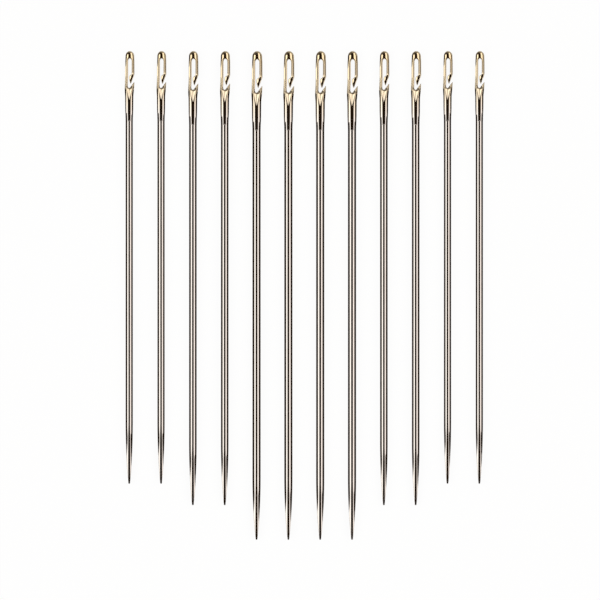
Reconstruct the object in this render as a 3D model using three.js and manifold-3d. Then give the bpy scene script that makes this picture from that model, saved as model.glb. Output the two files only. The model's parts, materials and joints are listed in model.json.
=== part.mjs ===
// A set of twelve self-threading hand sewing needles in three sizes, lying side by side, eyes up.
// Millimetres, +Z up. X runs across the row, Y along the needles with the eyes at +Y, and the
// needles rest on Z = 0. The origin is the middle of the row, half way along the longest needle.
//
// Each needle is a drawn steel wire with a ground point and a stamped head. The head's eye opens
// to the side: the thread goes in at the notch, down under the tongue into the cup, and up the
// passage into the eye. The head and the shank meet at the die line, where the stamping ends.
import * as THREE from "three";
import { mergeVertices } from "three/addons/utils/BufferGeometryUtils.js";
import Module from "manifold-3d";

const wasm = await Module();
wasm.setup();

// The three sizes: overall length, wire diameter, and the head's size against the drawn head
const LONG_LENGTH = 41;
const LONG_WIRE = 0.69;
const LONG_HEAD = 1;
const MEDIUM_LENGTH = 38.1;
const MEDIUM_WIRE = 0.64;
const MEDIUM_HEAD = 0.93;
const SHORT_LENGTH = 36.3;
const SHORT_WIRE = 0.61;
const SHORT_HEAD = 0.885;

// The row
const PITCH = 2.67;

// The point: the length ground to a taper, the fullness of its curve and the blunt tip's radius
const POINT_LENGTH = 5.4;
const POINT_FULLNESS = 2.2;
const TIP_RADIUS = 0.05;

// The drawn head: widths across the row, its thickness as stamped and as an oval bar before that,
// and places measured down from its top
const CROWN_WIDTH = 0.82;
const CROWN_HEIGHT = 0.48;
const HEAD_WIDTH = 0.87;
const CUP_WIDTH = 0.893;
const HEAD_THICKNESS = 0.54;
const OVAL_THICKNESS = 0.6;
const HEAD_WIDE_FROM = 1.1;
const NECK_WIDTH = 0.785;
const SHOULDER_TOP = 3.5;
const SHOULDER_BOTTOM = 4.4;
const DIE_LINE = 6.67;

// How far the drawn eye leans to the notch side, and between which places the wire bends to it
const LEAN = 0.06;
const LEAN_TOP = 2.3;
const LEAN_BOTTOM = 4.2;

// The drawn eye and the way into it, measured down from the head's top and across from its axis
const EYE_WIDTH = 0.35;
const EYE_TOP = 0.68;
const EYE_ARCH = 0.27;
const TONGUE_TOP = 2.1;
const TONGUE_BULGE = 2.46;
const TONGUE_TIP = 3.06;
const TONGUE_TIP_ACROSS = 0.12;
const PASSAGE_WIDTH = 0.11;
const NOTCH_TOP = 2.1;
const LIP_TIP = 2.9;
const LIP_FOOT = 3.33;
const LIP_FOOT_ACROSS = 0.14;
const CUP_BOTTOM = 3.49;
const CUP_HEIGHT = 0.24;
const CUP_RADIUS = 0.165;

// The stamped faces: the run-out below the cup, and the depth of the flat below it
const RUN_OUT_START = 3.55;
const RUN_OUT_END = 4.57;
const FLAT_DEPTH = 0.024;

// Facets: the point's rings crowd towards its tip, and vertices closer than the weld are one
const SIDES = 16;
const CURVE_STEPS = 5;
const DOME_RINGS = 4;
const SHOULDER_RINGS = 6;
const POINT_RINGS = 5;
const RING_CROWDING = 1.5;
const WELD = 1e-5;

// Finishes
const GOLD = new THREE.MeshStandardMaterial({ color: 0xd9bd84, roughness: 0.2, metalness: 1 });
const NICKEL = new THREE.MeshStandardMaterial({ color: 0xa9a49e, roughness: 0.22, metalness: 1 });

const SIZES = {
  long: { length: LONG_LENGTH, wire: LONG_WIRE, head: LONG_HEAD },
  medium: { length: MEDIUM_LENGTH, wire: MEDIUM_WIRE, head: MEDIUM_HEAD },
  short: { length: SHORT_LENGTH, wire: SHORT_WIRE, head: SHORT_HEAD },
};

// The row from left to right: the long needles in the middle, the short ones outside
const ROW = [
  "short", "short", "medium", "medium", "long", "long",
  "long", "long", "medium", "medium", "short", "short",
];

// The drawn head's sizes, for a head of another size
function headSizes(scale) {
  const drawn = {
    crownWidth: CROWN_WIDTH,
    crownHeight: CROWN_HEIGHT,
    width: HEAD_WIDTH,
    cupWidth: CUP_WIDTH,
    thickness: HEAD_THICKNESS,
    ovalThickness: OVAL_THICKNESS,
    wideFrom: HEAD_WIDE_FROM,
    neckWidth: NECK_WIDTH,
    shoulderTop: SHOULDER_TOP,
    shoulderBottom: SHOULDER_BOTTOM,
    dieLine: DIE_LINE,
    lean: LEAN,
    leanTop: LEAN_TOP,
    leanBottom: LEAN_BOTTOM,
    eyeWidth: EYE_WIDTH,
    eyeTop: EYE_TOP,
    eyeArch: EYE_ARCH,
    tongueTop: TONGUE_TOP,
    tongueBulge: TONGUE_BULGE,
    tongueTip: TONGUE_TIP,
    tongueTipAcross: TONGUE_TIP_ACROSS,
    passage: PASSAGE_WIDTH,
    notchTop: NOTCH_TOP,
    lipTip: LIP_TIP,
    lipFoot: LIP_FOOT,
    lipFootAcross: LIP_FOOT_ACROSS,
    cupBottom: CUP_BOTTOM,
    cupHeight: CUP_HEIGHT,
    cupRadius: CUP_RADIUS,
    runOutStart: RUN_OUT_START,
    runOutEnd: RUN_OUT_END,
    flatDepth: FLAT_DEPTH,
  };
  return Object.fromEntries(Object.entries(drawn).map(([name, size]) => [name, size * scale]));
}

// A closed geometry as a solid to cut, without the triangles that collapse on its axis
function solidOf(geometry) {
  const bare = new THREE.BufferGeometry();
  bare.setAttribute("position", geometry.getAttribute("position"));
  bare.setIndex(geometry.getIndex());
  const merged = mergeVertices(bare, WELD);
  const corners = merged.getIndex().array;
  const kept = [];
  for (let i = 0; i < corners.length; i += 3) {
    const [a, b, c] = corners.slice(i, i + 3);
    if (a !== b && b !== c && c !== a) {
      kept.push(a, b, c);
    }
  }
  const vertProperties = new Float32Array(merged.getAttribute("position").array);
  const triVerts = new Uint32Array(kept);
  return new wasm.Manifold(new wasm.Mesh({ numProp: 3, vertProperties, triVerts }));
}

// A solid as a geometry to show
function geometryOf(solid) {
  const cut = solid.getMesh();
  const geometry = new THREE.BufferGeometry();
  geometry.setAttribute("position", new THREE.BufferAttribute(cut.vertProperties, 3));
  geometry.setIndex(new THREE.BufferAttribute(cut.triVerts, 1));
  geometry.computeVertexNormals();
  return geometry;
}

// A round body about Y whose rings are [radius, distance down], from the lowest to the highest.
// A flat side faces up, and each side lies at the radius.
function turned(rings) {
  const reach = 1 / Math.cos(Math.PI / SIDES);
  const points = rings.map(([radius, down]) => new THREE.Vector2(radius * reach, -down));
  return new THREE.LatheGeometry(points, SIDES, Math.PI / SIDES);
}

const between = (from, to, share) => from + (to - from) * THREE.MathUtils.clamp(share, 0, 1);

// Half the head's width at a distance down from its top
function halfWidth(h, wire, down) {
  const places = [
    [h.crownHeight, h.crownWidth],
    [h.wideFrom, h.width],
    [h.shoulderTop, h.cupWidth],
    [h.shoulderBottom, h.neckWidth],
    [h.dieLine, wire],
  ];
  if (down < h.crownHeight) {
    return (h.crownWidth / 2) * Math.sqrt(1 - (1 - down / h.crownHeight) ** 2);
  }
  const reached = places.findLastIndex(([place]) => place <= down);
  const stretch = THREE.MathUtils.clamp(reached, 0, places.length - 2);
  const [top, topWidth] = places[stretch];
  const [bottom, bottomWidth] = places[stretch + 1];
  return between(topWidth, bottomWidth, THREE.MathUtils.smoothstep(down, top, bottom)) / 2;
}

// Half the oval bar's thickness: thin at the eye, and as thick as the wire from the shoulder down
function halfThickness(h, wire, down) {
  const share = (down - h.lipTip) / (h.shoulderBottom - h.lipTip);
  const eased = THREE.MathUtils.smoothstep(share, 0, 1);
  return between(h.ovalThickness, wire, eased) / 2;
}

// The head before it is cut: a domed oval bar that runs into the round wire
function headBlank(h, wire) {
  const shoulder = [];
  for (let ring = SHOULDER_RINGS; ring >= 0; ring -= 1) {
    shoulder.push(between(h.shoulderTop, h.shoulderBottom, ring / SHOULDER_RINGS));
  }
  const straight = [h.dieLine, ...shoulder, h.lipTip, h.wideFrom];
  const dome = [];
  for (let ring = 0; ring < DOME_RINGS; ring += 1) {
    const turn = (ring / DOME_RINGS) * (Math.PI / 2);
    dome.push(h.crownHeight * (1 - Math.sin(turn)));
  }
  const places = [...straight, ...dome];
  const rings = places.map((down) => [halfWidth(h, wire, down), down]);
  const blank = turned([[0, h.dieLine], ...rings, [0, 0]]);
  const position = blank.getAttribute("position");
  for (let i = 0; i < position.count; i += 1) {
    const down = -position.getY(i);
    const wide = halfWidth(h, wire, Math.max(down, h.crownHeight));
    position.setZ(i, (position.getZ(i) * halfThickness(h, wire, down)) / wide);
  }
  return solidOf(blank);
}

// The eye with its side notch, passage and cup, as a cutter through the head
function eyeCutter(h) {
  const side = h.eyeWidth / 2;
  const archEnd = h.eyeTop + h.eyeArch;
  const bulge = -side + h.passage;
  const edge = h.width / 2;
  const past = h.width;
  const tongueSlope = (h.tongueTip - h.notchTop) / (edge - h.tongueTipAcross);
  const lipSlope = (h.lipFoot - h.lipTip) / (edge - h.lipFootAcross);
  const cupCentre = h.cupRadius - side;
  const cupCorner = h.lipFootAcross - (h.cupBottom - h.lipFoot) / lipSlope;
  const halfTongue = (h.tongueTop + h.tongueBulge) / 2;
  const lowTongue = (h.tongueBulge + h.tongueTip) / 2;
  const outline = new THREE.Shape();
  outline.moveTo(-side, -archEnd);
  outline.absellipse(0, -archEnd, side, h.eyeArch, Math.PI, 0, true);
  outline.lineTo(side, -h.tongueTop);
  outline.bezierCurveTo(side, -halfTongue, bulge, -halfTongue, bulge, -h.tongueBulge);
  outline.quadraticCurveTo(bulge, -lowTongue, h.tongueTipAcross, -h.tongueTip);
  outline.lineTo(past, -(h.notchTop - (past - edge) * tongueSlope));
  outline.lineTo(past, -(h.lipTip - (past - edge) * lipSlope));
  outline.lineTo(h.lipFootAcross, -h.lipFoot);
  outline.quadraticCurveTo(cupCorner, -h.cupBottom, cupCentre, -h.cupBottom);
  const cupTop = h.cupBottom - h.cupHeight;
  const quarter = Math.PI / 2;
  outline.absellipse(cupCentre, -cupTop, h.cupRadius, h.cupHeight, -quarter, -Math.PI, true);
  outline.closePath();
  const depth = 2 * h.thickness;
  const settings = { depth, bevelEnabled: false, curveSegments: CURVE_STEPS };
  const cutter = new THREE.ExtrudeGeometry(outline, settings);
  cutter.translate(0, 0, -depth / 2);
  return solidOf(cutter);
}

// The stamp's mark on one face, front (1) or back (-1): flat round the eye, then a ramp that
// rises from the cup to the wire's top and runs out there, then a narrow flat to the die line
function stampCutter(h, wire, face) {
  const clear = wire;
  const low = h.thickness / 2;
  const flat = wire / 2 - h.flatDepth;
  const profile = new THREE.Shape();
  profile.moveTo(clear, low * face);
  profile.lineTo(-h.runOutStart, low * face);
  profile.lineTo(-h.runOutEnd, flat * face);
  profile.lineTo(-h.dieLine - clear, flat * face);
  profile.lineTo(-h.dieLine - clear, clear * face);
  profile.lineTo(clear, clear * face);
  profile.closePath();
  const depth = 2 * h.width;
  const cutter = new THREE.ExtrudeGeometry(profile, { depth, bevelEnabled: false });
  // The profile's X is the needle's Y and its Y the needle's Z, so the extrusion runs across
  const axes = new THREE.Matrix4().makeBasis(
    new THREE.Vector3(0, 1, 0),
    new THREE.Vector3(0, 0, 1),
    new THREE.Vector3(1, 0, 0),
  );
  cutter.translate(0, 0, -depth / 2);
  cutter.applyMatrix4(axes);
  return solidOf(cutter);
}

function headGeometry(h, wire) {
  const blank = headBlank(h, wire);
  const stamped = blank.subtract(stampCutter(h, wire, 1)).subtract(stampCutter(h, wire, -1));
  const straight = stamped.subtract(eyeCutter(h));
  const leaning = straight.warp((point) => {
    const share = (-point[1] - h.leanTop) / (h.leanBottom - h.leanTop);
    point[0] += between(h.lean, 0, THREE.MathUtils.smoothstep(share, 0, 1));
  });
  return geometryOf(leaning);
}

// The shank: round wire from the die line to the ground point
function shankGeometry(h, size) {
  const radius = size.wire / 2;
  const rings = [[0, size.length]];
  for (let ring = 0; ring <= POINT_RINGS; ring += 1) {
    const share = (ring / POINT_RINGS) ** RING_CROWDING;
    const full = 1 - (1 - share) ** POINT_FULLNESS;
    rings.push([between(TIP_RADIUS, radius, full), size.length - share * POINT_LENGTH]);
  }
  rings.push([radius, h.dieLine], [0, h.dieLine]);
  return geometryOf(solidOf(turned(rings)));
}

// One needle, its top at the group's origin and its axis along -Y
function needle(name, size) {
  const h = headSizes(size.head);
  const head = new THREE.Mesh(headGeometry(h, size.wire), GOLD);
  head.name = `${name}_eye`;
  const shank = new THREE.Mesh(shankGeometry(h, size), NICKEL);
  shank.name = `${name}_shank`;
  const group = new THREE.Group();
  group.add(head, shank);
  return group;
}

const set = new THREE.Group();
const top = Math.max(...Object.values(SIZES).map((size) => size.length)) / 2;
const made = { long: 0, medium: 0, short: 0 };
ROW.forEach((kind, place) => {
  made[kind] += 1;
  const size = SIZES[kind];
  const one = needle(`${kind}_needle_${made[kind]}`, size);
  const lift = Math.max(size.wire, HEAD_THICKNESS * size.head) / 2;
  one.position.set((place - (ROW.length - 1) / 2) * PITCH, top, lift);
  set.add(one);
});

export default set;
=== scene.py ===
"""A row of self-threading hand sewing needles lying on a white floor, seen from straight above.

Each needle is a polished steel wire. Its head is meshed from a distance field, so that the eye, the
tongue, the cup and the gutter run into each other with the soft edges of a stamped, polished and plated
piece. Its shank is a loft of wire sections that ends in the ground point.
"""
import json
import math

import bmesh
import bpy
import numpy as np
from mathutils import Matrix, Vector

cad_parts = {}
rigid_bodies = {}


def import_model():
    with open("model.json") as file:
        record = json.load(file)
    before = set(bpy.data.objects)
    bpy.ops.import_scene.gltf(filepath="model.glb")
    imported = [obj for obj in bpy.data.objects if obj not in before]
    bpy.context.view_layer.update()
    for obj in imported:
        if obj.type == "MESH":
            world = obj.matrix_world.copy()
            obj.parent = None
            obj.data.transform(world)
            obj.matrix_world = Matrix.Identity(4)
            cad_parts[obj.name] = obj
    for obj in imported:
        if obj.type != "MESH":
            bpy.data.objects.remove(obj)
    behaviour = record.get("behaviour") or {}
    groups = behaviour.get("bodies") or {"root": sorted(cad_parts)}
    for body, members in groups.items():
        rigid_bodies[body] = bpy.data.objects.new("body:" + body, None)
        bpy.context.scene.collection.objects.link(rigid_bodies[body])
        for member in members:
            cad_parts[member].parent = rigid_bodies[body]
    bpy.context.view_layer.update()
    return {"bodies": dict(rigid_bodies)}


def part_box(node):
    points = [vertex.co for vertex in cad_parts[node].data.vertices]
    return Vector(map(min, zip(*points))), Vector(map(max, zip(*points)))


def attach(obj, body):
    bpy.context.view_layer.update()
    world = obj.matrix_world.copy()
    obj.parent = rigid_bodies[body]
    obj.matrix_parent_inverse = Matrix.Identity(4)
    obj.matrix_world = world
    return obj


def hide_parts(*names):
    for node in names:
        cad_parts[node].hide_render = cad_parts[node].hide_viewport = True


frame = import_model()

MM = 0.001

# The long needle's head, in millimetres: distances down from its top and across from its axis
WIRE = 0.69
CROWN_WIDTH = 0.82
CROWN_HEIGHT = 0.48
HEAD_WIDTH = 0.87
CUP_WIDTH = 0.89
HEAD_THICKNESS = 0.6
HEAD_WIDE_FROM = 1.1
NECK_TOP_WIDTH = 0.785
NECK_WIDTH = 0.77
SHOULDER_TOP = 3.5
SHOULDER_BOTTOM = 4.4
NECK_END = 5.3
DIE_LINE = 6.67

# How far the eye leans to the notch side, and between which places the wire bends to it
LEAN = 0.06
LEAN_TOP = 2.3
LEAN_BOTTOM = 4.2

# How much the crown is rolled to the right, and where that ends
CROWN_ROLL = math.tan(math.radians(3.6))
CROWN_ROLL_END = 1.0

# Its eye and the way into it
EYE_WIDTH = 0.35
EYE_SIDES = (-EYE_WIDTH / 2, EYE_WIDTH / 2)
EYE_TOP = 0.695
EYE_ARCH = 0.27
TONGUE_TOP = 2.1
TONGUE_BULGE = 2.46
TONGUE_TIP = 3.09
TONGUE_TIP_ACROSS = 0.12
TONGUE_TIP_WIDTH = 0.03
PASSAGE_WIDTH = 0.11
NOTCH_TOP = 2.18
LIP_TIP = 2.9
LIP_FOOT = 3.33
LIP_FOOT_ACROSS = 0.14
CUP_BOTTOM = 3.49
CUP_HEIGHT = 0.24
CUP_RADIUS = 0.165

# The gutter below the cup, which runs out to a point, its root's radius as (distance down, size) stations,
# and the stamped flat from there to the die line
GUTTER_TOP = 3.3
GUTTER_END = 4.97
GUTTER_DEPTH = 0.145
GUTTER_SLOPE = math.radians(18)
GUTTER_ROOT = ((3.5, 0.018), (4.0, 0.003))
FLAT_DEPTH = 0.0207
FLAT_START = 4.41
FLAT_FULL = 4.69
FLAT_END = 6.59
FLAT_STEP = 0.12

# The eye's bevel: the height above the middle where it starts at the arch, the two walls and the cup, its
# slope at these, the places between which the arch's and the cup's bevels run into the walls', and how much
# narrower the arch's is at its top
ARCH_LEFT_BEVEL_HEIGHT = 0.14
ARCH_RIGHT_BEVEL_HEIGHT = 0.205
LEFT_BEVEL_HEIGHT = 0.161
RIGHT_BEVEL_HEIGHT = 0.225
CUP_BEVEL_HEIGHT = 0.1
ARCH_BEVEL_SLOPE = math.radians(45)
WALL_BEVEL_SLOPE = math.radians(32)
CUP_BEVEL_SLOPE = math.radians(40)
ARCH_BEVEL_ENDS = (0.75, 1.1)
CUP_BEVEL_ENDS = (3.12, 3.42)
ARCH_TOP_RISE = 0.09
ARCH_TOP_ENDS = (0.67, 0.77)

# The tongue is rounded over along a crest instead: its radius as (distance down, size) stations, its
# height, the places between which it takes over from the wall, and its start, corner and end as
# (across, down)
CREST_RADIUS = ((2.35, 0.55), (2.5, 0.35), (2.6, 0.35), (2.85, 1.2))
CREST_HEIGHT = 0.18
CREST_FADE = (1.92, 2.18)
CREST_START = (0.425, 2.2)
CREST_CORNER = (0.13, 2.55)
CREST_END = (0.1, 3.09)

# Edges rounded by stamping and polishing, the gutter's as (distance down, size) stations
BEVEL_ROUNDING = 0.08
TONGUE_ROUNDING = 0.03
CUP_ROUNDING = 0.03
EYE_ROUNDING = 0.03
GUTTER_ROUNDING = ((3.6, 0.01), (4.1, 0.035), (4.4, 0.05))
FLAT_ROUNDING = 0.01

# The section: round on top, with flanks that stop turning at this slope, and soft corners at the sides.
# The head's flanks change along it: the left wall is flatter, the right one is round to the lip, and the
# neck's are flatter inside than outside, from a middle a little to the left, until it is plain wire.
FLANK_SLOPE = math.radians(38.5)
WALL_SLOPE = math.radians(30)
ROUND_SLOPE = math.radians(80)
LEFT_WALL_TOP = (0.7, 1.3)
LEFT_WALL_BOTTOM = (3.0, 3.8)
RIGHT_WALL_BOTTOM = (3.1, 3.9)
FLANK_MIDDLE = 0.36
FLANK_SLANT = 4.0
NECK_FLANK = (0.265, 0.305)
NECK_FLANK_MIDDLE = -0.0125
NECK_PLAIN = (5.6, 6.6)
CORNER_SOFTNESS = 0.03

# The ground point: its length, the fullness of its curve and the blunt tip, then the narrow land along its
# top, the slope beside that land, and the distances from the tip between which it fades out
POINT_LENGTH = 5.4
POINT_FULLNESS = 2.2
TIP_RADIUS = 0.072
LAND_HALF_WIDTH = 0.092
LAND_SLOPE = math.radians(28)
LAND_FULL = 2.15
LAND_START = 3.75

# Those slopes start later towards the sides, and later still on the right: millimetres for one half width,
# the share of it that keeps its place, the right side's lag, and the shares between which that sets in
LAND_SLANT = 3.0
LAND_MIDDLE = 0.8
LAND_LAG = 0.9
LAND_LAG_ENDS = (0.4, 0.6)

# Mesh fineness, and how many cells from its lower end the head's field is closed and is left as it is
CELL = (0.022, 0.03, 0.022)
CLOSED_CELLS = 1.5
LOOSE_CELLS = 2.5
FIELD_MARGIN = 0.05
PROJECTION_STEPS = 4
PROBE = 0.0005
LEAST_GRADIENT = 0.5
CUT_TOLERANCE = 1e-9
QUAD_CORNERS = 4
CURVE_STEPS = 12
SHANK_SIDES = 96
POINT_RINGS = 28
TIP_RINGS = 6

# The photograph's framing: the side of its square frame and the frame's middle, in millimetres
FRAME_SIDE = 50.36
FRAME_MIDDLE = (-0.359, -0.378)
LENS = 500
SENSOR = 36

# The studio: two softboxes beside the row, with their reach along it, a white floor, and a dim room that is
# lighter low down beyond both ends of the needles
SOFTBOX_DISTANCE = 0.6
SOFTBOX_NEAR = math.radians(26.5)
SOFTBOX_FAR = math.radians(64.5)
LEFT_REACH = (-0.7, 0.32)
RIGHT_REACH = (-0.6, 0.8)
LEFT_RADIANCE = 2.6
RIGHT_RADIANCE = 2.35
LEFT_COLOUR = (1, 1, 0.97)
RIGHT_COLOUR = (1, 0.96, 0.93)
ROOM_DIM = (0.032, 0.019, 0.011)
ROOM_LIGHT = (1.0, 0.98, 0.95)
ROOM_ENDS = (0.35, 0.75)
ROOM_FALL = 3.0
FLOOR_SIDE = 6.0
FLOOR_DROP = 0.00001
FLOOR_WHITE = 0.92
FLOOR_GLOW = 0.945

# Finishes: colours between two tones, the crown's deeper gold, how far down the head both golds fade and
# how raggedly, then the slow tone changes, the fine polishing lines, and the least and most roughness
NICKEL_LIGHT = (0.438, 0.41, 0.386)
NICKEL_DARK = (0.39, 0.358, 0.332)
GOLD_LIGHT = (0.526, 0.44, 0.307)
GOLD_DARK = (0.466, 0.38, 0.257)
CROWN_GOLD = (0.51, 0.41, 0.26)
EDGE_TINT = (0.25, 0.22, 0.2, 1)
GOLD_ENDS = (2.6, 6.2)
CROWN_GOLD_ENDS = (0.4, 1.2)
GOLD_RAGGED = 0.6
CLOUD_SCALE = 1500.0
CLOUD_DETAIL = 2.0
LINE_SCALE = (30000, 900, 30000)
LINE_DETAIL = 3.0
LINE_STRENGTH = 0.5
LINE_DEPTH = 0.0000001
POLISHED = (0.02, 0.06)

# The dull line that the die's edge leaves across the top: how far above the die line, half its sizes, and
# its roughness
DULL_RISE = 0.045
DULL_HALF_LENGTH = 0.025
DULL_HALF_WIDTH = 0.13
DULL_ROUGHNESS = 0.5

# The dull patch on the left wall beside the cup: where it starts and ends, how far left, its roughness
PATCH_TOP = (2.2, 2.5)
PATCH_BOTTOM = (3.5, 3.65)
PATCH_ACROSS = (0.16, 0.21)
PATCH_ROUGHNESS = 0.45

# Where a mix node keeps its two colours and the colour between them among its sockets
MIX_FIRST = 6
MIX_SECOND = 7
MIX_RESULT = 2


def eased(down, stations):
    """A size along the needle, eased from one (distance down, size) station to the next."""
    size = np.full(np.shape(down), float(stations[0][1]))
    for (start, before), (end, after) in zip(stations, stations[1:]):
        share = np.clip((down - start) / (end - start), 0, 1)
        size += (after - before) * share * share * (3 - 2 * share)
    return size


def rise(place, ends):
    """0 before the first of two places, 1 after the second, and eased between them."""
    return eased(place, [(ends[0], 0), (ends[1], 1)])


def smooth_max(a, b, reach):
    """The larger of two fields, blended over a reach, which rounds the edge where two surfaces meet."""
    closeness = np.maximum(reach - np.abs(a - b), 0) / reach
    return np.maximum(a, b) + closeness * closeness * reach / 4


def section_gauge(across, up, flank):
    """How far out a point lies on the wire's section, 1 at its surface, for half sizes of 1.

    The top is round until the surface slopes as much as the flank does, then it runs straight to the side.
    """
    across = np.abs(across)
    up = np.abs(up)
    turned = np.arctan2(across, up)
    flat_flank = across * np.sin(flank) + up * np.cos(flank)
    top = np.where(turned <= flank, np.hypot(across, up), flat_flank)
    return smooth_max(top, across, CORNER_SOFTNESS)


def land_gauge(across, up, land):
    """The same for the end of the point, which has a narrow land on top and straight slopes beside it."""
    across = np.abs(across)
    up = np.abs(up)
    slope = across * math.sin(LAND_SLOPE) + up * math.cos(LAND_SLOPE)
    slope = slope / (land * math.sin(LAND_SLOPE) + math.cos(LAND_SLOPE))
    return smooth_max(smooth_max(up, slope, CORNER_SOFTNESS), across, CORNER_SOFTNESS)


def curve(*controls):
    """Points along a Bezier curve, without its first."""
    share = np.linspace(0, 1, CURVE_STEPS + 1)[1:, None]
    points = [np.array(control, float) + 0 * share for control in controls]
    while len(points) > 1:
        points = [a + (b - a) * share for a, b in zip(points, points[1:])]
    return list(points[0])


def ellipse(centre, radii, start, end):
    """Points along an ellipse's arc between two angles, without its first."""
    angles = np.linspace(start, end, CURVE_STEPS + 1)[1:]
    return [(centre[0] + radii[0] * math.cos(t), centre[1] + radii[1] * math.sin(t)) for t in angles]


def eye_outline():
    """The eye with its notch, passage and cup, as points (across, down)."""
    side = EYE_WIDTH / 2
    arch_end = EYE_TOP + EYE_ARCH
    bulge = PASSAGE_WIDTH - side
    edge = HEAD_WIDTH / 2
    past = HEAD_WIDTH
    tongue_slope = (TONGUE_TIP - NOTCH_TOP) / (edge - TONGUE_TIP_ACROSS)
    lip_slope = (LIP_FOOT - LIP_TIP) / (edge - LIP_FOOT_ACROSS)
    cup_middle = CUP_RADIUS - side
    cup_corner = LIP_FOOT_ACROSS - (CUP_BOTTOM - LIP_FOOT) / lip_slope
    cup_top = CUP_BOTTOM - CUP_HEIGHT
    mid_tongue = (TONGUE_TOP + TONGUE_BULGE) / 2
    low_tongue = (TONGUE_BULGE + TONGUE_TIP) / 2
    points = ellipse((0, arch_end), (side, EYE_ARCH), math.pi, 2 * math.pi)
    points += curve((side, TONGUE_TOP), (side, mid_tongue), (bulge, mid_tongue), (bulge, TONGUE_BULGE))
    points += curve(
        (bulge, TONGUE_BULGE), (bulge, low_tongue), (TONGUE_TIP_ACROSS - TONGUE_TIP_WIDTH, TONGUE_TIP))
    points += [(TONGUE_TIP_ACROSS, TONGUE_TIP)]
    points += [(past, NOTCH_TOP - (past - edge) * tongue_slope)]
    points += [(past, LIP_TIP - (past - edge) * lip_slope)]
    points += [(LIP_FOOT_ACROSS, LIP_FOOT)]
    points += curve((LIP_FOOT_ACROSS, LIP_FOOT), (cup_corner, CUP_BOTTOM), (cup_middle, CUP_BOTTOM))
    points += ellipse((cup_middle, cup_top), (CUP_RADIUS, CUP_HEIGHT), math.pi / 2, math.pi)
    return np.array(points)


def line_distance(across, down, points):
    """Distance to a line of straight stretches through points (across, down)."""
    nearest = np.full(across.shape, np.inf)
    for (ax, ay), (bx, by) in zip(points, points[1:]):
        dx, dy = bx - ax, by - ay
        share = np.clip(((across - ax) * dx + (down - ay) * dy) / (dx * dx + dy * dy), 0, 1)
        nearest = np.minimum(nearest, np.hypot(across - ax - share * dx, down - ay - share * dy))
    return nearest


def outline_distance(across, down, outline):
    """Signed distance to a closed outline, negative inside it."""
    closed = [*outline, outline[0]]
    inside = np.zeros(across.shape, bool)
    for (ax, ay), (bx, by) in zip(closed, closed[1:]):
        if ay != by:
            beside = across < ax + (down - ay) * (bx - ax) / (by - ay)
            inside ^= ((ay > down) != (by > down)) & beside
    distance = line_distance(across, down, closed)
    return np.where(inside, -distance, distance)


def flank_slope(across, down):
    """The slope at which the head's section stops turning, different on its left and right walls."""
    slant = FLANK_SLANT * (np.abs(across) - FLANK_MIDDLE)
    above = 1 - rise(down - slant, LEFT_WALL_TOP)
    below = rise(down + slant, LEFT_WALL_BOTTOM)
    outer = rise(np.abs(across - NECK_FLANK_MIDDLE), NECK_FLANK)
    plain = rise(down, NECK_PLAIN)
    turn = FLANK_SLOPE - WALL_SLOPE
    neck = WALL_SLOPE + turn * np.maximum(outer, plain)
    left = WALL_SLOPE + turn * above + (neck - WALL_SLOPE) * below
    right = ROUND_SLOPE + (neck - ROUND_SLOPE) * rise(down + slant, RIGHT_WALL_BOTTOM)
    return left + (right - left) * rise(across, EYE_SIDES)


def tongue_share(across, down):
    """1 on the tongue, which ends half way across the slot and the passage round it, and 0 elsewhere."""
    passage_middle = (PASSAGE_WIDTH - EYE_WIDTH) / 2
    slot_top = (NOTCH_TOP + LIP_TIP) / 2
    slot_bottom = (TONGUE_TIP + LIP_FOOT) / 2
    slot_share = (HEAD_WIDTH / 2 - across) / (HEAD_WIDTH / 2 - TONGUE_TIP_ACROSS)
    slot_middle = slot_top + (slot_bottom - slot_top) * np.clip(slot_share, 0, 1)
    return np.where((across > passage_middle) & (down < slot_middle), rise(down, CREST_FADE), 0)


def eye_edge_height(across, down, from_eye, tongue):
    """How high the head reaches beside the eye: a bevel all round it, and a rounded crest on the tongue."""
    side = rise(across, EYE_SIDES)
    wall = LEFT_BEVEL_HEIGHT + (RIGHT_BEVEL_HEIGHT - LEFT_BEVEL_HEIGHT) * side
    arch = ARCH_LEFT_BEVEL_HEIGHT + (ARCH_RIGHT_BEVEL_HEIGHT - ARCH_LEFT_BEVEL_HEIGHT) * side
    at_arch = 1 - rise(down, ARCH_BEVEL_ENDS)
    at_cup = rise(down, CUP_BEVEL_ENDS)
    start = wall + (arch - wall) * at_arch + (CUP_BEVEL_HEIGHT - wall) * at_cup
    start += eased(down, [(ARCH_TOP_ENDS[0], ARCH_TOP_RISE), (ARCH_TOP_ENDS[1], 0)])
    slope = WALL_BEVEL_SLOPE + (ARCH_BEVEL_SLOPE - WALL_BEVEL_SLOPE) * at_arch
    slope += (CUP_BEVEL_SLOPE - WALL_BEVEL_SLOPE) * at_cup
    bevel = start + from_eye * np.tan(slope)
    crest = [CREST_START, *curve(CREST_START, CREST_CORNER, CREST_CORNER, CREST_END)]
    rounded = CREST_HEIGHT - line_distance(across, down, crest) ** 2 / (2 * eased(down, CREST_RADIUS))
    return bevel + (rounded - bevel) * tongue


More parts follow.
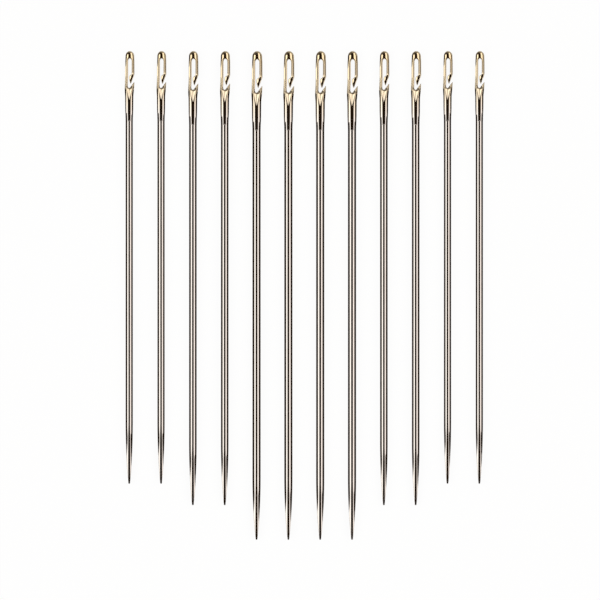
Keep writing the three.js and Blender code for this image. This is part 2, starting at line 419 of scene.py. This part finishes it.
def head_field(across, down, up, outline):
    """Negative inside the long needle's head, in millimetres, and about a distance near its surface."""
    across = across - eased(down, [(LEAN_TOP, LEAN), (LEAN_BOTTOM, 0)])
    up = up + across * eased(down, [(CROWN_HEIGHT, CROWN_ROLL), (CROWN_ROLL_END, 0)])
    half_width = eased(down, [
        (CROWN_HEIGHT, CROWN_WIDTH / 2),
        (HEAD_WIDE_FROM, HEAD_WIDTH / 2),
        (SHOULDER_TOP, CUP_WIDTH / 2),
        (SHOULDER_BOTTOM, NECK_TOP_WIDTH / 2),
        (NECK_END, NECK_WIDTH / 2),
        (DIE_LINE, WIRE / 2),
    ])
    half_thickness = eased(down, [(LIP_TIP, HEAD_THICKNESS / 2), (SHOULDER_BOTTOM, WIRE / 2)])
    crown = np.maximum(CROWN_HEIGHT - down, 0) / CROWN_HEIGHT
    out = np.hypot(across / half_width, crown)
    flank = np.arctan(np.tan(flank_slope(across, down)) * half_width / half_thickness)
    bar = (section_gauge(out, up / half_thickness, flank) - 1) * half_thickness

    open_top = WIRE / 2 + FLAT_DEPTH
    flat_height = eased(down, [
        (FLAT_START, open_top),
        (FLAT_FULL, WIRE / 2 - FLAT_DEPTH),
        (FLAT_END, WIRE / 2 - FLAT_DEPTH),
        (FLAT_END + FLAT_STEP, open_top),
    ])
    stamped = smooth_max(bar, np.abs(up) - flat_height, FLAT_ROUNDING)

    run = np.minimum((GUTTER_END - down) / (GUTTER_END - CUP_BOTTOM), 1)
    fall_in = np.maximum(GUTTER_TOP - down, 0)
    root = half_thickness - GUTTER_DEPTH * run + fall_in
    round_root = eased(down, GUTTER_ROOT)
    flanks = math.tan(GUTTER_SLOPE) * (np.hypot(across, round_root) - round_root)
    guttered = smooth_max(stamped, np.abs(up) - root - flanks, eased(down, GUTTER_ROUNDING))

    from_eye = outline_distance(across, down, outline)
    tongue = tongue_share(across, down)
    edge_height = eye_edge_height(across, down, from_eye, tongue)
    beside = (np.abs(up) - edge_height) * math.cos(CUP_BEVEL_SLOPE)
    rounding = eased(down, [(CUP_BEVEL_ENDS[0], BEVEL_ROUNDING), (CUP_BEVEL_ENDS[1], CUP_ROUNDING)])
    rounding += (TONGUE_ROUNDING - rounding) * tongue
    return smooth_max(smooth_max(guttered, beside, rounding), -from_eye, EYE_ROUNDING)


def surface_net(values, low, cell):
    """Vertices and quads of the surface where gridded values change sign, one vertex in each cell."""
    inside = values < 0
    units = np.eye(3, dtype=int)
    shape = np.array(values.shape) - 1
    corners = [np.array((i, j, k)) for i in (0, 1) for j in (0, 1) for k in (0, 1)]

    def corner(grid, at):
        """A grid's values at the same corner of every cell."""
        return grid[tuple(slice(o, o + n) for o, n in zip(at, shape))]

    filled = sum(corner(inside, at).astype(int) for at in corners)
    cells = np.argwhere((filled > 0) & (filled < len(corners)))
    index = np.full(shape, -1)
    index[tuple(cells.T)] = np.arange(len(cells))

    total = np.zeros((len(cells), 3))
    crossings = np.zeros(len(cells))
    for at in corners:
        for axis in range(3):
            if at[axis]:
                continue
            far = at + units[axis]
            a = values[tuple((cells + at).T)]
            b = values[tuple((cells + far).T)]
            crossed = (a < 0) != (b < 0)
            share = np.where(crossed, a / np.where(crossed, a - b, 1), 0)
            point = at + share[:, None] * (far - at)
            total += point * crossed[:, None]
            crossings += crossed
    vertices = low + (cells + total / crossings[:, None]) * cell

    quads = []
    for axis in range(3):
        step, u, v = units[axis], units[(axis + 1) % 3], units[(axis + 2) % 3]
        near = inside[tuple(slice(0, n + 1 - s) for n, s in zip(shape, step))]
        far = inside[tuple(slice(s, n + 1) for n, s in zip(shape, step))]
        edges = np.argwhere(near != far)
        leaving = near[tuple(edges.T)]
        ring = np.stack([index[tuple((edges - o).T)] for o in (0 * u, u, u + v, v)], axis=1)
        quads.append(np.where(leaving[:, None], ring, ring[:, ::-1]))
    return vertices, np.concatenate(quads)


def projected(points, field):
    """Points moved along the field's gradient on to its surface."""
    for _ in range(PROJECTION_STEPS):
        slope = np.empty_like(points)
        for axis in range(3):
            step = np.eye(3)[axis] * PROBE
            slope[:, axis] = (field(points + step) - field(points - step)) / (2 * PROBE)
        steepness = np.maximum((slope ** 2).sum(axis=1), LEAST_GRADIENT ** 2)
        points = points - slope * (field(points) / steepness)[:, None]
    return points


def new_mesh(name, vertices, faces):
    """A mesh from vertices (across, along, up) in metres."""
    mesh = bpy.data.meshes.new(name)
    mesh.from_pydata(vertices.tolist(), [], [list(face) for face in faces])
    mesh.validate()
    return mesh


def drawn_head():
    """The long needle's head as vertices and quads in millimetres, running a little past the die line."""
    outline = eye_outline()
    half = np.array((HEAD_WIDTH / 2 + LEAN, 0, WIRE / 2)) + FIELD_MARGIN
    low = np.array((-half[0], -DIE_LINE - 2 * FIELD_MARGIN, -half[2]))
    high = np.array((half[0], FIELD_MARGIN, half[2]))
    count = np.ceil((high - low) / CELL).astype(int) + 1
    axes = [low[i] + np.arange(count[i]) * CELL[i] for i in range(3)]
    across, along, up = np.meshgrid(*axes, indexing="ij")
    closed_end = low[1] + CELL[1] * CLOSED_CELLS
    values = np.maximum(head_field(across, -along, up, outline), closed_end - along)
    vertices, quads = surface_net(values, low, np.array(CELL))

    def field(points):
        """The head's field at points (across, along, up)."""
        return head_field(points[:, 0], -points[:, 1], points[:, 2], outline)

    above_end = vertices[:, 1] > low[1] + CELL[1] * LOOSE_CELLS
    vertices[above_end] = projected(vertices[above_end], field)
    return vertices, quads


def head_mesh(name, drawn, scale):
    """The head for a needle of another size, cut square and closed at its die line."""
    vertices, quads = drawn
    mesh = new_mesh(name, vertices * scale * MM, quads)
    shape = bmesh.new()
    shape.from_mesh(mesh)
    everything = shape.verts[:] + shape.edges[:] + shape.faces[:]
    cut = Vector((0, -DIE_LINE * scale[1] * MM, 0))
    made = bmesh.ops.bisect_plane(
        shape, geom=everything, plane_co=cut, plane_no=(0, -1, 0), clear_outer=True, dist=CUT_TOLERANCE)
    rim = [e for e in made["geom_cut"] if isinstance(e, bmesh.types.BMEdge)]
    bmesh.ops.contextual_create(shape, geom=rim)
    finish_mesh(shape, mesh)
    return mesh


def finish_mesh(shape, mesh):
    """Writes a built shape to its mesh, smooth all over but for its square ends."""
    bmesh.ops.recalc_face_normals(shape, faces=shape.faces)
    for face in shape.faces:
        face.smooth = len(face.verts) <= QUAD_CORNERS
        if not face.smooth:
            for edge in face.edges:
                edge.smooth = False
    shape.to_mesh(mesh)
    shape.free()


def shank_rings(wire, start, end):
    """(half width, distance down) of each ring of a shank, in millimetres."""
    radius = wire / 2
    shoulder = end - POINT_LENGTH
    rings = [(radius, start), (radius, shoulder)]
    tip_centre = end - TIP_RADIUS
    for ring in range(1, POINT_RINGS + 1):
        share = 1 - ring / POINT_RINGS
        full = 1 - (1 - share) ** POINT_FULLNESS
        down = tip_centre - share * (tip_centre - shoulder)
        rings.append((TIP_RADIUS + (radius - TIP_RADIUS) * full, down))
    for ring in range(1, TIP_RINGS):
        turn = ring / TIP_RINGS * math.pi / 2
        rings.append((TIP_RADIUS * math.cos(turn), tip_centre + TIP_RADIUS * math.sin(turn)))
    return rings


def shank_mesh(name, wire, start, end):
    """The shank from the die line to the tip."""
    turn = np.arange(SHANK_SIDES) / SHANK_SIDES * 2 * math.pi
    across, up = np.sin(turn), np.cos(turn)
    wire_gauge = section_gauge(across, up, FLANK_SLOPE)
    lag = LAND_LAG * rise(across, LAND_LAG_ENDS) + LAND_SLANT * (np.abs(across) - LAND_MIDDLE)
    shape = bmesh.new()
    loops = []
    for half, down in shank_rings(wire, start, end):
        tip_gauge = land_gauge(across, up, min(LAND_HALF_WIDTH / half, 1))
        share = rise(down - lag, (end - LAND_START, end - LAND_FULL))
        reach = half * MM / (wire_gauge + (tip_gauge - wire_gauge) * share)
        loops.append([shape.verts.new((x * r, -down * MM, z * r)) for x, z, r in zip(across, up, reach)])
    for a, b in zip(loops, loops[1:]):
        for i in range(SHANK_SIDES):
            j = (i + 1) % SHANK_SIDES
            shape.faces.new((a[i], a[j], b[j], b[i]))
    shape.faces.new(loops[0])
    tip = shape.verts.new((0, -end * MM, 0))
    for a, b in zip(loops[-1], loops[-1][1:] + loops[-1][:1]):
        shape.faces.new((a, b, tip))
    mesh = bpy.data.meshes.new(name)
    finish_mesh(shape, mesh)
    return mesh


class Nodes:
    """Short names for making and joining the nodes of one material."""

    def __init__(self, material):
        """Starts the material with no nodes."""
        material.use_nodes = True
        self.tree = material.node_tree
        self.tree.nodes.clear()

    def feed(self, socket, value):
        """Joins an output to a socket, or sets the socket to a plain value."""
        if isinstance(value, bpy.types.NodeSocket):
            self.tree.links.new(value, socket)
        else:
            socket.default_value = value

    def add(self, kind, settings=None, **inputs):
        """A new node with its settings and its inputs by name."""
        node = self.tree.nodes.new(kind)
        for name, value in (settings or {}).items():
            setattr(node, name, value)
        for name, value in inputs.items():
            self.feed(node.inputs[name.replace("_", " ")], value)
        return node

    def math(self, operation, *values):
        """The result of one operation on values."""
        node = self.add("ShaderNodeMath", {"operation": operation})
        for socket, value in zip(node.inputs, values):
            self.feed(socket, value)
        return node.outputs[0]


def polish(nodes):
    """The place on the needle, and its fine lines and slow tone changes as two values from 0 to 1."""
    place = nodes.add("ShaderNodeTexCoord").outputs["Object"]
    stretched = nodes.add("ShaderNodeMapping", Vector=place, Scale=LINE_SCALE).outputs["Vector"]
    lines = nodes.add("ShaderNodeTexNoise", Vector=stretched, Scale=1.0, Detail=LINE_DETAIL)
    clouds = nodes.add("ShaderNodeTexNoise", Vector=place, Scale=CLOUD_SCALE, Detail=CLOUD_DETAIL)
    return place, lines.outputs["Fac"], clouds.outputs["Fac"]


def blend(nodes, share, first, second):
    """A colour between two, by share. A plain colour has no alpha yet."""
    mix = nodes.add("ShaderNodeMix", {"data_type": "RGBA"}, Factor=share)
    for socket, colour in ((MIX_FIRST, first), (MIX_SECOND, second)):
        plain = isinstance(colour, tuple)
        nodes.feed(mix.inputs[socket], (*colour, 1) if plain else colour)
    return mix.outputs[MIX_RESULT]


def eased_share(nodes, value, low, high):
    """0 at a low value, 1 at a high one, and eased between them."""
    share = nodes.add(
        "ShaderNodeMapRange", {"interpolation_type": "SMOOTHSTEP"},
        Value=value, From_Min=low, From_Max=high)
    return share.outputs["Result"]


def share_before(nodes, place, ends, size):
    """1 before the first of two distances down the head, or to its left, and 0 past the second."""
    return eased_share(nodes, place, -ends[1] * size, -ends[0] * size)


def polished_metal(name, die_line=None):
    """Polished nickel on steel, or with a die line, in millimetres, a head that is gilded from its top."""
    material = bpy.data.materials.new(name)
    nodes = Nodes(material)
    place, lines, clouds = polish(nodes)
    colour = blend(nodes, clouds, NICKEL_DARK, NICKEL_LIGHT)
    roughness = nodes.add("ShaderNodeMapRange", Value=lines, To_Min=POLISHED[0], To_Max=POLISHED[1])
    roughness = roughness.outputs["Result"]
    if die_line:
        gold = blend(nodes, clouds, GOLD_DARK, GOLD_LIGHT)
        axes = nodes.add("ShaderNodeSeparateXYZ", Vector=place).outputs
        size = die_line / DIE_LINE * MM
        ragged = nodes.math("MULTIPLY_ADD", clouds, GOLD_RAGGED * size, axes["Y"])
        for ends, plate in ((GOLD_ENDS, gold), (CROWN_GOLD_ENDS, CROWN_GOLD)):
            colour = blend(nodes, share_before(nodes, ragged, ends, size), colour, plate)
        at_line = nodes.math("COMPARE", axes["Y"], (DULL_RISE - die_line) * MM, DULL_HALF_LENGTH * MM)
        on_top = nodes.math("COMPARE", axes["X"], 0.0, DULL_HALF_WIDTH * MM)
        dull = nodes.math("MULTIPLY", nodes.math("MULTIPLY", at_line, on_top), DULL_ROUGHNESS)
        roughness = nodes.math("MAXIMUM", roughness, dull)
        above_top = share_before(nodes, axes["Y"], PATCH_TOP, size)
        above_bottom = share_before(nodes, axes["Y"], PATCH_BOTTOM, size)
        on_left = nodes.math("SUBTRACT", 1.0, share_before(nodes, axes["X"], PATCH_ACROSS, size))
        patch = nodes.math("MULTIPLY", nodes.math("SUBTRACT", above_bottom, above_top), on_left)
        roughness = nodes.math("MAXIMUM", roughness, nodes.math("MULTIPLY", patch, PATCH_ROUGHNESS))
    bump = nodes.add("ShaderNodeBump", Height=lines, Strength=LINE_STRENGTH, Distance=LINE_DEPTH)
    shader = nodes.add(
        "ShaderNodeBsdfPrincipled", Base_Color=colour, Metallic=1.0, Specular_Tint=EDGE_TINT,
        Roughness=roughness, Normal=bump.outputs["Normal"])
    nodes.add("ShaderNodeOutputMaterial", Surface=shader.outputs["BSDF"])
    return material


def add_piece(name, mesh, place, body, node):
    """A piece of the needle that stands for a CAD node and moves with its body."""
    piece = bpy.data.objects.new(name, mesh)
    bpy.context.scene.collection.objects.link(piece)
    piece.location = place
    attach(piece, body)
    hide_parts(node)


def add_needles():
    """A head and a shank for each needle of the row, each size meshed once."""
    nickel = polished_metal("polished_nickel")
    drawn = drawn_head()
    sizes = {}
    for body in frame["bodies"]:
        eye_low, eye_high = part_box(f"{body}_eye")
        shank_low, shank_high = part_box(f"{body}_shank")
        middle = (shank_low + shank_high) / 2
        place = Vector((middle.x, eye_high.y, middle.z))
        size = body.split("_")[0]
        if size not in sizes:
            wire = (shank_high.x - shank_low.x) / MM
            die_line = (eye_high.y - eye_low.y) / MM
            end = (eye_high.y - shank_low.y) / MM
            scale = np.array((wire / WIRE, die_line / DIE_LINE, wire / WIRE))
            head = head_mesh(f"{size}_head", drawn, scale)
            head.materials.append(polished_metal(f"{size}_gilded_nickel", die_line))
            shank = shank_mesh(f"{size}_wire", wire, die_line, end)
            shank.materials.append(nickel)
            sizes[size] = head, shank
        head, shank = sizes[size]
        add_piece(f"{body}_head", head, place, body, f"{body}_eye")
        add_piece(f"{body}_wire", shank, place, body, f"{body}_shank")


def add_floor():
    """A white floor that glows as the background does for what sees it, and keeps the needles' shadows."""
    mesh = bpy.data.meshes.new("floor")
    half = FLOOR_SIDE / 2
    corners = [(-half, -half, 0), (half, -half, 0), (half, half, 0), (-half, half, 0)]
    mesh.from_pydata(corners, [], [(0, 1, 2, 3)])
    floor = bpy.data.objects.new("floor", mesh)
    floor.location.z = -FLOOR_DROP
    bpy.context.scene.collection.objects.link(floor)
    material = bpy.data.materials.new("white_floor")
    mesh.materials.append(material)
    nodes = Nodes(material)
    path = nodes.add("ShaderNodeLightPath").outputs
    seen = path["Is Camera Ray"]
    for kind in ("Is Glossy Ray", "Is Transmission Ray"):
        seen = nodes.math("MAXIMUM", seen, path[kind])
    share = nodes.math("MULTIPLY", seen, FLOOR_GLOW)
    white = nodes.add("ShaderNodeBsdfDiffuse", Color=(FLOOR_WHITE, FLOOR_WHITE, FLOOR_WHITE, 1))
    glow = nodes.add("ShaderNodeEmission", Color=(1, 1, 1, 1), Strength=1.0)
    mix = nodes.add("ShaderNodeMixShader")
    for socket, value in zip(mix.inputs, (share, white.outputs[0], glow.outputs[0])):
        nodes.feed(socket, value)
    nodes.add("ShaderNodeOutputMaterial", Surface=mix.outputs[0])


def add_softbox(name, side, reach, radiance, colour):
    """A rectangular softbox that spans two angles from straight up, as seen from the row."""
    middle = (SOFTBOX_NEAR + SOFTBOX_FAR) / 2
    width = 2 * SOFTBOX_DISTANCE * math.tan((SOFTBOX_FAR - SOFTBOX_NEAR) / 2)
    length = reach[1] - reach[0]
    towards = Vector((side * math.sin(middle), 0, math.cos(middle)))
    light = bpy.data.lights.new(name, "AREA")
    light.shape = "RECTANGLE"
    light.size = length
    light.size_y = width
    light.energy = radiance * math.pi * width * length
    light.color = colour
    lamp = bpy.data.objects.new(name, light)
    lamp.location = towards * SOFTBOX_DISTANCE + Vector((0, sum(reach) / 2, 0))
    lamp.rotation_euler = towards.to_track_quat("Z", "Y").to_euler()
    bpy.context.scene.collection.objects.link(lamp)


def add_room():
    """A dim room whose walls beyond the two ends of the needles are lighter, most of all low down."""
    room = bpy.data.worlds.new("room")
    bpy.context.scene.world = room
    nodes = Nodes(room)
    towards = nodes.add("ShaderNodeTexCoord").outputs["Generated"]
    axes = nodes.add("ShaderNodeSeparateXYZ", Vector=towards).outputs
    end = eased_share(nodes, nodes.math("ABSOLUTE", axes["Y"]), *ROOM_ENDS)
    low = nodes.math("POWER", nodes.math("SUBTRACT", 1.0, axes["Z"]), ROOM_FALL)
    colour = blend(nodes, nodes.math("MULTIPLY", end, low), ROOM_DIM, ROOM_LIGHT)
    background = nodes.add("ShaderNodeBackground", Color=colour)
    nodes.add("ShaderNodeOutputWorld", Surface=background.outputs[0])


def add_studio():
    """The two softboxes beside the row and the room round them."""
    add_softbox("left_softbox", -1, LEFT_REACH, LEFT_RADIANCE, LEFT_COLOUR)
    add_softbox("right_softbox", 1, RIGHT_REACH, RIGHT_RADIANCE, RIGHT_COLOUR)
    add_room()


def add_camera():
    """A long lens high above the row, looking straight down."""
    data = bpy.data.cameras.new("camera")
    data.lens = LENS
    data.sensor_width = SENSOR
    camera = bpy.data.objects.new("camera", data)
    camera.location = (FRAME_MIDDLE[0] * MM, FRAME_MIDDLE[1] * MM, FRAME_SIDE * MM * LENS / SENSOR)
    bpy.context.scene.collection.objects.link(camera)
    bpy.context.scene.camera = camera


add_needles()
add_floor()
add_studio()
add_camera()
bpy.context.scene.view_settings.view_transform = "Standard"
